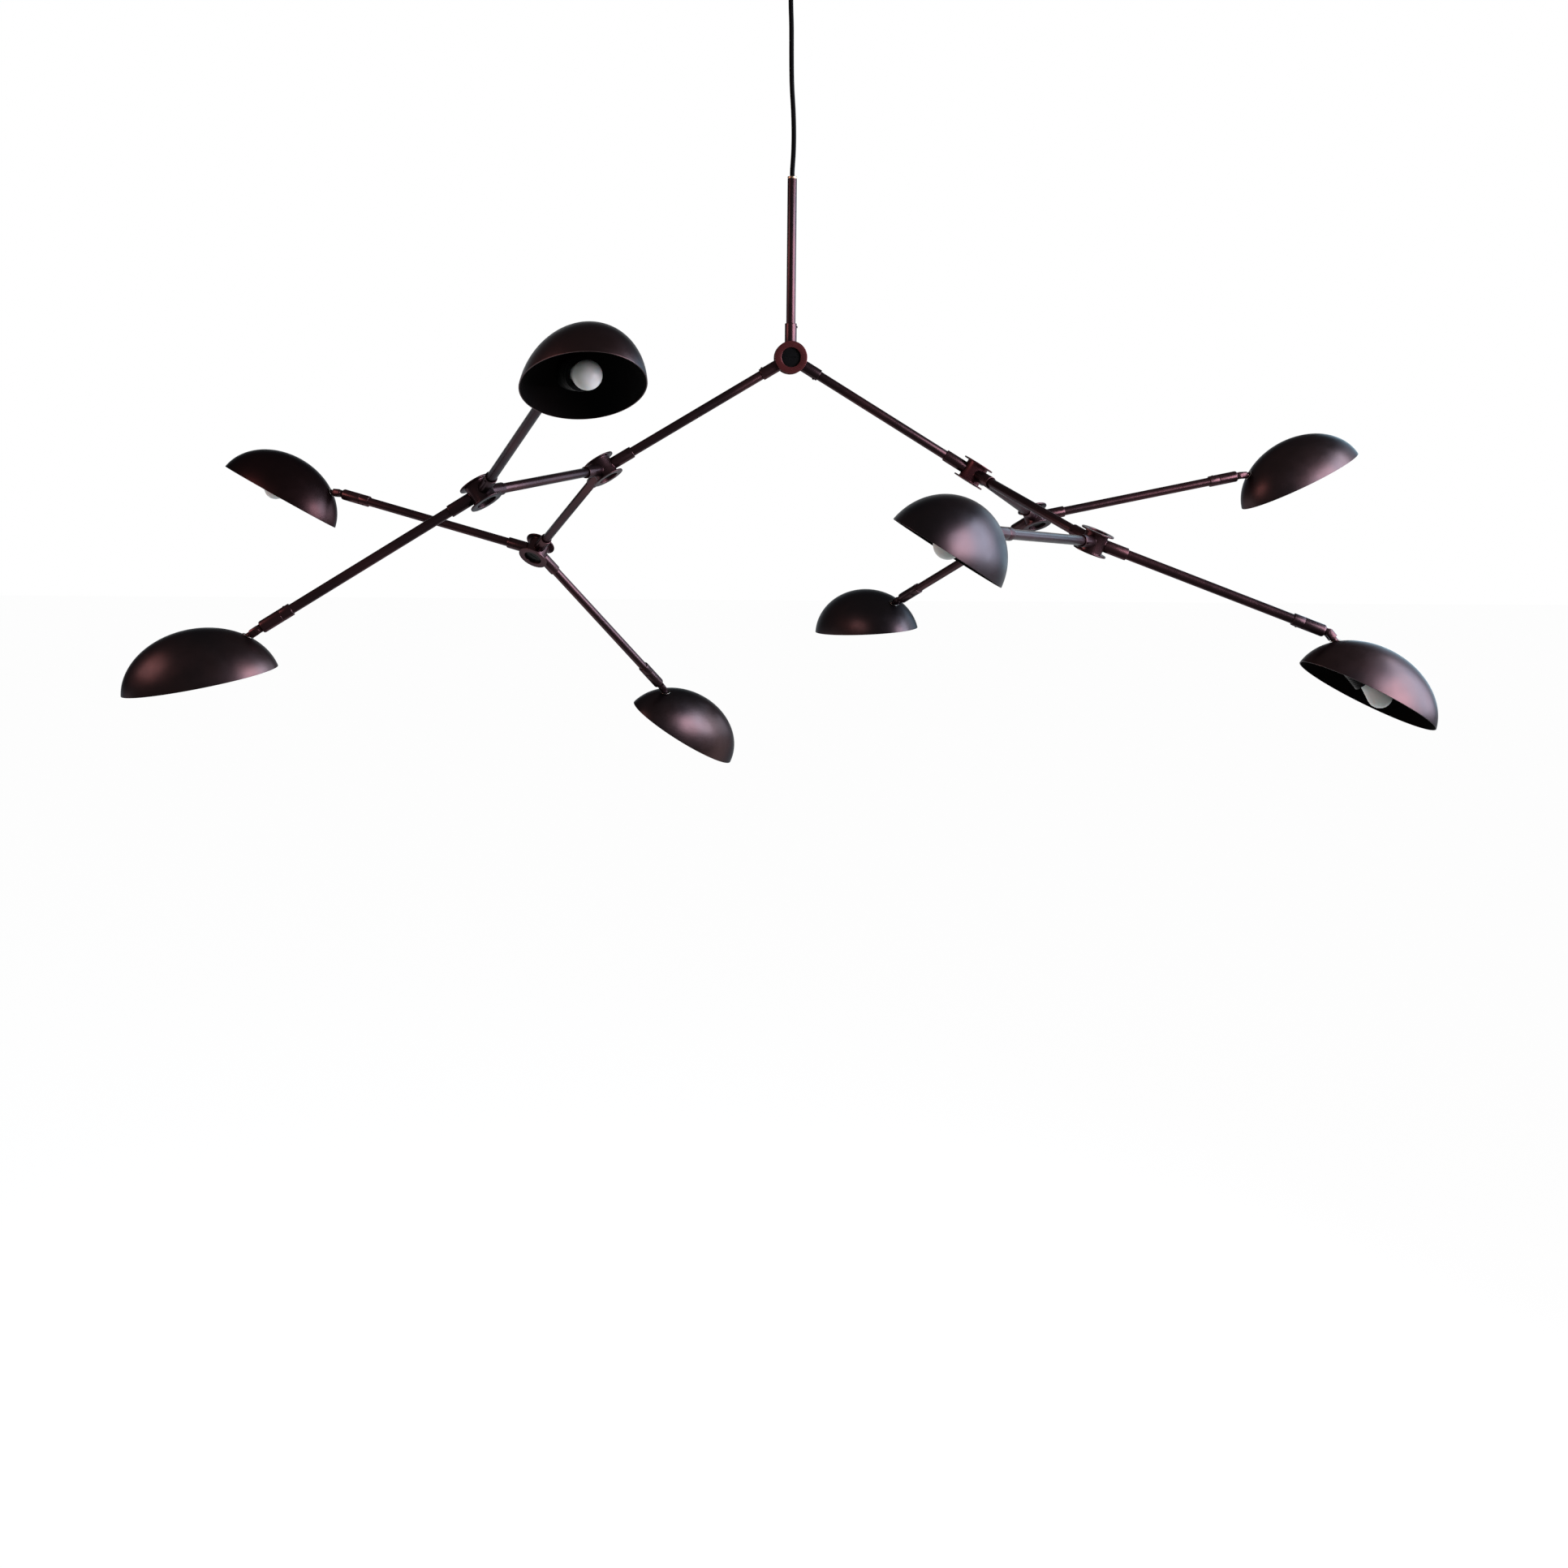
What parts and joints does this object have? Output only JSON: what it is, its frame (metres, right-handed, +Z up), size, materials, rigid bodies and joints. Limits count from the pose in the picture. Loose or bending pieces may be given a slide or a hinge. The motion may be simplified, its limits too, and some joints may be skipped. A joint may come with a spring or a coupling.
{
  "type": "branching ceiling light",
  "caption": "Ceiling light on a cord and stem: tubes branch at spool hubs and end in half-egg shades on swivel and tilt joints.",
  "frame": {"origin": "middle of the ceiling bracket's top face, which rests on the ceiling", "axes": "+Z up, the picture looks along +Y, +X is to its right"},
  "size_m": [1.802, 1.4062, 1.1823],
  "materials": {
    "dark_bronze": "satin",
    "shade_metal": "satin",
    "holder_black": "satin",
    "opal_bulb": "gloss",
    "cord": "matte",
    "brass": "satin",
    "plated_steel": "satin",
    "terminal_white": "satin"
  },
  "bodies": {
    "stem_body": {"canopy": "dark_bronze", "ceiling_bracket": "plated_steel", "terminal_block": "terminal_white", "cord_grip": "dark_bronze", "drop_cord": "cord", "stem_gland": "brass", "stem_tube": "dark_bronze", "central_hub": "dark_bronze", "left_long_tube": "dark_bronze", "right_long_tube": "dark_bronze"},
    "left_body": {"left_hub": "dark_bronze", "left_front_tube": "dark_bronze", "left_rear_tube": "dark_bronze"},
    "right_body": {"right_hub": "dark_bronze", "right_rear_tube": "dark_bronze", "right_front_tube": "dark_bronze"},
    "left_front_body": {"left_front_hub": "dark_bronze", "lamp_tube_1": "dark_bronze", "lamp_tube_2": "dark_bronze"},
    "left_rear_body": {"left_rear_hub": "dark_bronze", "lamp_tube_3": "dark_bronze", "lamp_tube_4": "dark_bronze"},
    "right_rear_body": {"right_rear_hub": "dark_bronze", "lamp_tube_5": "dark_bronze", "lamp_tube_6": "dark_bronze"},
    "right_front_body": {"right_front_hub": "dark_bronze", "lamp_tube_7": "dark_bronze", "lamp_tube_8": "dark_bronze"},
    "sleeve_1_body": {"swivel_sleeve_1": "dark_bronze"},
    "lamp_1_body": {"lamp_holder_1": "holder_black", "shade_1": "shade_metal", "bulb_1": "opal_bulb"},
    "sleeve_2_body": {"swivel_sleeve_2": "dark_bronze"},
    "lamp_2_body": {"lamp_holder_2": "holder_black", "shade_2": "shade_metal", "bulb_2": "opal_bulb"},
    "sleeve_3_body": {"swivel_sleeve_3": "dark_bronze"},
    "lamp_3_body": {"lamp_holder_3": "holder_black", "shade_3": "shade_metal", "bulb_3": "opal_bulb"},
    "sleeve_4_body": {"swivel_sleeve_4": "dark_bronze"},
    "lamp_4_body": {"lamp_holder_4": "holder_black", "shade_4": "shade_metal", "bulb_4": "opal_bulb"},
    "sleeve_5_body": {"swivel_sleeve_5": "dark_bronze"},
    "lamp_5_body": {"lamp_holder_5": "holder_black", "shade_5": "shade_metal", "bulb_5": "opal_bulb"},
    "sleeve_6_body": {"swivel_sleeve_6": "dark_bronze"},
    "lamp_6_body": {"lamp_holder_6": "holder_black", "shade_6": "shade_metal", "bulb_6": "opal_bulb"},
    "sleeve_7_body": {"swivel_sleeve_7": "dark_bronze"},
    "lamp_7_body": {"lamp_holder_7": "holder_black", "shade_7": "shade_metal", "bulb_7": "opal_bulb"},
    "sleeve_8_body": {"swivel_sleeve_8": "dark_bronze"},
    "lamp_8_body": {"lamp_holder_8": "holder_black", "shade_8": "shade_metal", "bulb_8": "opal_bulb"}
  },
  "joints": [
    {"name": "left_hub_turn", "type": "hinge", "parent": "stem_body", "child": "left_body", "pos_m": [-0.25779, 0, -0.7076], "axis": [-0.8572, 0, -0.515], "range_deg": [-90, 90]},
    {"name": "right_hub_turn", "type": "hinge", "parent": "stem_body", "child": "right_body", "pos_m": [0.26679, 0, -0.7076], "axis": [0.8572, 0, -0.515], "range_deg": [-90, 90]},
    {"name": "left_front_hub_turn", "type": "hinge", "parent": "left_body", "child": "left_front_body", "pos_m": [-0.41408, -0.25629, -0.74068], "axis": [-0.5175, -0.8486, -0.1095], "range_deg": [-90, 90]},
    {"name": "left_rear_hub_turn", "type": "hinge", "parent": "left_body", "child": "left_rear_body", "pos_m": [-0.36037, 0.25629, -0.83007], "axis": [-0.3397, 0.8486, -0.4055], "range_deg": [-90, 90]},
    {"name": "right_rear_hub_turn", "type": "hinge", "parent": "right_body", "child": "right_rear_body", "pos_m": [0.40351, 0.26116, -0.77325], "axis": [0.4527, 0.8648, -0.2174], "range_deg": [-90, 90]},
    {"name": "right_front_hub_turn", "type": "hinge", "parent": "right_body", "child": "right_front_body", "pos_m": [0.38894, -0.26116, -0.7975], "axis": [0.4045, -0.8648, -0.2977], "range_deg": [-90, 90]},
    {"name": "swivel_1", "type": "hinge", "parent": "left_front_body", "child": "sleeve_1_body", "pos_m": [-0.30122, -0.54378, -0.59851], "axis": [0.3319, -0.8456, 0.4181], "range_deg": [-150, 150]},
    {"name": "tilt_1", "type": "hinge", "parent": "sleeve_1_body", "child": "lamp_1_body", "pos_m": [-0.30122, -0.54378, -0.59851], "axis": [0.9425, 0.2788, -0.1844], "range_deg": [-74.4, 30.6]},
    {"name": "swivel_2", "type": "hinge", "parent": "left_front_body", "child": "sleeve_2_body", "pos_m": [-0.70289, -0.25734, -0.92008], "axis": [-0.8494, -0.0031, -0.5277], "range_deg": [-150, 150]},
    {"name": "tilt_2", "type": "hinge", "parent": "sleeve_2_body", "child": "lamp_2_body", "pos_m": [-0.70289, -0.25734, -0.92008], "axis": [0.055, -0.995, -0.0828], "range_deg": [-46.9, 58.1]},
    {"name": "swivel_3", "type": "hinge", "parent": "left_rear_body", "child": "sleeve_3_body", "pos_m": [-0.66881, 0.37282, -0.74707], "axis": [-0.9072, 0.3427, 0.2441], "range_deg": [-150, 150]},
    {"name": "tilt_3", "type": "hinge", "parent": "sleeve_3_body", "child": "lamp_3_body", "pos_m": [-0.66881, 0.37282, -0.74707], "axis": [-0.2929, -0.9309, 0.2184], "range_deg": [-55.9, 49.1]},
    {"name": "swivel_4", "type": "hinge", "parent": "left_rear_body", "child": "sleeve_4_body", "pos_m": [-0.16742, 0.4283, -1.05094], "axis": [0.5675, 0.5059, -0.6496], "range_deg": [-150, 150]},
    {"name": "tilt_4", "type": "hinge", "parent": "sleeve_4_body", "child": "lamp_4_body", "pos_m": [-0.16742, 0.4283, -1.05094], "axis": [-0.3422, 0.8625, 0.3727], "range_deg": [-52, 53]},
    {"name": "swivel_5", "type": "hinge", "parent": "right_rear_body", "child": "sleeve_5_body", "pos_m": [0.2266, 0.51486, -0.91446], "axis": [-0.5203, 0.7462, -0.4153], "range_deg": [-150, 150]},
    {"name": "tilt_5", "type": "hinge", "parent": "sleeve_5_body", "child": "lamp_5_body", "pos_m": [0.2266, 0.51486, -0.91446], "axis": [-0.7881, -0.6068, -0.1029], "range_deg": [-45.1, 59.9]},
    {"name": "swivel_6", "type": "hinge", "parent": "right_rear_body", "child": "sleeve_6_body", "pos_m": [0.73434, 0.30147, -0.70595], "axis": [0.973, 0.1186, 0.1979], "range_deg": [-150, 150]},
    {"name": "tilt_6", "type": "hinge", "parent": "sleeve_6_body", "child": "lamp_6_body", "pos_m": [0.73434, 0.30147, -0.70595], "axis": [-0.119, 0.9928, -0.0099], "range_deg": [-53, 52]},
    {"name": "swivel_7", "type": "hinge", "parent": "right_front_body", "child": "sleeve_7_body", "pos_m": [0.2077, -0.54833, -0.78061], "axis": [-0.5331, -0.8446, 0.0497], "range_deg": [-150, 150]},
    {"name": "tilt_7", "type": "hinge", "parent": "sleeve_7_body", "child": "lamp_7_body", "pos_m": [0.2077, -0.54833, -0.78061], "axis": [0.7343, -0.491, -0.4688], "range_deg": [-55.9, 49.1]},
    {"name": "swivel_8", "type": "hinge", "parent": "right_front_body", "child": "sleeve_8_body", "pos_m": [0.7077, -0.26801, -0.91559], "axis": [0.9375, -0.0201, -0.3473], "range_deg": [-150, 150]},
    {"name": "tilt_8", "type": "hinge", "parent": "sleeve_8_body", "child": "lamp_8_body", "pos_m": [0.7077, -0.26801, -0.91559], "axis": [-0.0229, 0.9926, -0.1194], "range_deg": [-74.2, 30.8]}
  ]
}
